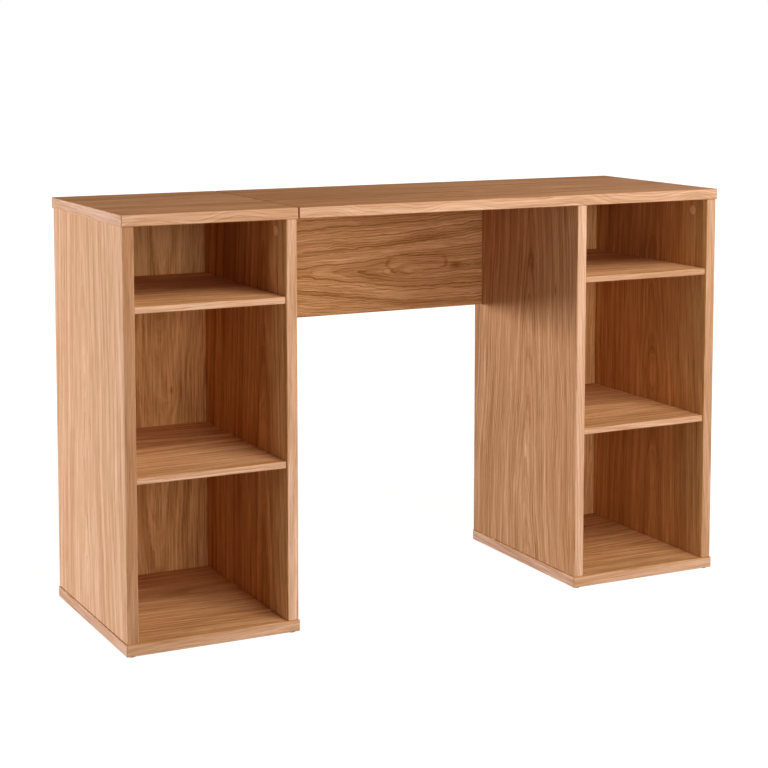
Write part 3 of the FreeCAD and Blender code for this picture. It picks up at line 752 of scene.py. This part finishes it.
base_screw = turned(
    [(0, -0.0470), (0.0025, -0.0440), (0.0025, -0.0167), (0.0035, -0.0167), (0.0035, 0)]
    + [(0.0047, 0), (0.0050, 0.0004), (0.0050, 0.0027), (0.0047, 0.0030)]
    + [(-1, 0.0030), (-1, 0.0006), (0, 0.0002)],
    48,
    hexagon,
)
for tower, middles in SIDE_MIDDLES.items():
    places = [((x, y, SCREW_SEAT), "z", False) for x in middles for y in BOLT_LINES]
    fitting(f"{tower}_base_screws", base_screw, places, zinc)

bracket_screw = turned(
    [(0, -0.016), (0.0018, -0.013), (0.0020, 0), (0.0037, 0), (0.0038, 0.0003)]
    + arc((0.0022, 0.0006), 0.0016, 5, 75) + [(-1, 0.0022), (-1, 0.0008), (0, 0.0006)],
    64,
    cross,
)
BRACKET_LEGS = {"side": (-0.2835, 0.715, "x", True), "top": (-0.271, 0.7275, "z", False)}
for leg, (x, z, axis, forward) in BRACKET_LEGS.items():
    places = [((x, y, z), axis, forward) for y in BRACKET_LINES]
    fitting(f"bracket_{leg}_screws", bracket_screw, places, zinc)

# %% [markdown]
# The desk was lit by large soft lamps: two at the left, which make its left sides the brightest,
# and three before it at different heights, whose light reaches the backs of the compartments.
# Their first strengths came from rendering the desk under one lamp at a time and adding the
# renders up until the sums matched the picture. Two were then changed, and the three lamps
# before the desk were made warmer. The lamp behind at the left was also set low, so the shadow
# that the panel between the towers throws on the side beside the knees runs level. The sixth
# lamp, at the right behind, hardly shows in the picture and lights the sides it leaves out.

# %% Lamps
MIDDLE = (0, 0, 0.4)


def softbox(name, place, size, power, colour):
    """A square area lamp that faces the middle of the desk."""
    lamp = bpy.data.lights.new(name, "AREA")
    lamp.shape, lamp.size, lamp.energy, lamp.color = "SQUARE", size, power, colour
    holder = bpy.data.objects.new(name, lamp)
    holder.location = place
    towards = Vector(MIDDLE) - Vector(place)
    holder.rotation_euler = towards.to_track_quat("-Z", "Y").to_euler()
    bpy.context.scene.collection.objects.link(holder)


COOL, WARM = (0.98, 1, 1.02), (1, 0.92, 0.77)

# Each has its place and its width in metres, its power in watts and its colour
softbox("left", (-4.5, -0.7, 0.9), 1.8, 36, COOL)
softbox("left behind", (-3.4, 2.7, 0.45), 0.85, 140, COOL)
softbox("front", (-0.2, -5.0, 1.2), 1.4, 50, WARM)
softbox("front right", (2.4, -3.4, 1.3), 1.8, 54, WARM)
softbox("high", (0.5, -2.4, 3.0), 1.6, 66, WARM)
softbox("right behind", (3.6, 2.2, 1.2), 1.8, 55, COOL)
print(len(bpy.data.lights), "lamps")

# %% [markdown]
# The background is plain white, but a white room would also pour light on the desk. So the world
# is white only to the camera and in reflections, and black to the rays that light the boards. The
# floor does the same, and near the desk it also lets its true, lit surface through, which keeps
# the trace of shadow that the picture has under the bases.

# %% White room and floor
def seen(finish):
    """1 for the rays that see things directly, in gloss or through glass, else 0."""
    rays = ["Is Camera Ray", "Is Glossy Ray", "Is Transmission Ray"]
    camera_ray, glossy_ray, clear_ray = finish.node("ShaderNodeLightPath", output=rays)
    return camera_ray.math("MAXIMUM", glossy_ray).math("MAXIMUM", clear_ray)


room = Finish("studio", bpy.data.worlds)
backdrop = room.node("ShaderNodeBackground", inputs=[(1, 1, 1, 1), seen(room)])
room.node("ShaderNodeOutputWorld", inputs=[backdrop])
bpy.context.scene.world = room.material

REACH = 30  # half the floor's width, so it ends far outside the picture
NEAR, FAR = 0.7, 1.6  # metres from the middle, where the floor turns from lit to white
NEAR_WHITE = 0.85  # the white share near the desk
GLOW = 1.15  # strong enough that this share alone is almost white

corners = [(-REACH, -REACH, 0), (REACH, -REACH, 0), (REACH, REACH, 0), (-REACH, REACH, 0)]
mesh = bpy.data.meshes.new("floor")
mesh.from_pydata(corners, [], [(0, 1, 2, 3)])
floor = bpy.data.objects.new("floor", mesh)
bpy.context.scene.collection.objects.link(floor)
pale = Finish("floor")
spot = pale.node("ShaderNodeTexCoord", output="Object")
away = pale.node("ShaderNodeVectorMath", {"operation": "LENGTH"}, [spot], "Value")
matt = pale.node("ShaderNodeBsdfDiffuse", inputs={"Color": (0.55, 0.55, 0.55, 1)})
glow = pale.node("ShaderNodeEmission", inputs={"Color": (1, 1, 1, 1), "Strength": GLOW})
white = seen(pale) * (NEAR_WHITE + away.step(NEAR, FAR) * (1 - NEAR_WHITE))
mixed = pale.node("ShaderNodeMixShader", inputs=[white, matt, glow])
pale.node("ShaderNodeOutputMaterial", inputs=[mixed])
mesh.materials.append(pale.material)

bpy.context.scene.view_settings.view_transform = "Standard"
print("floor", round(floor.dimensions.x), "m wide")

# %% [markdown]
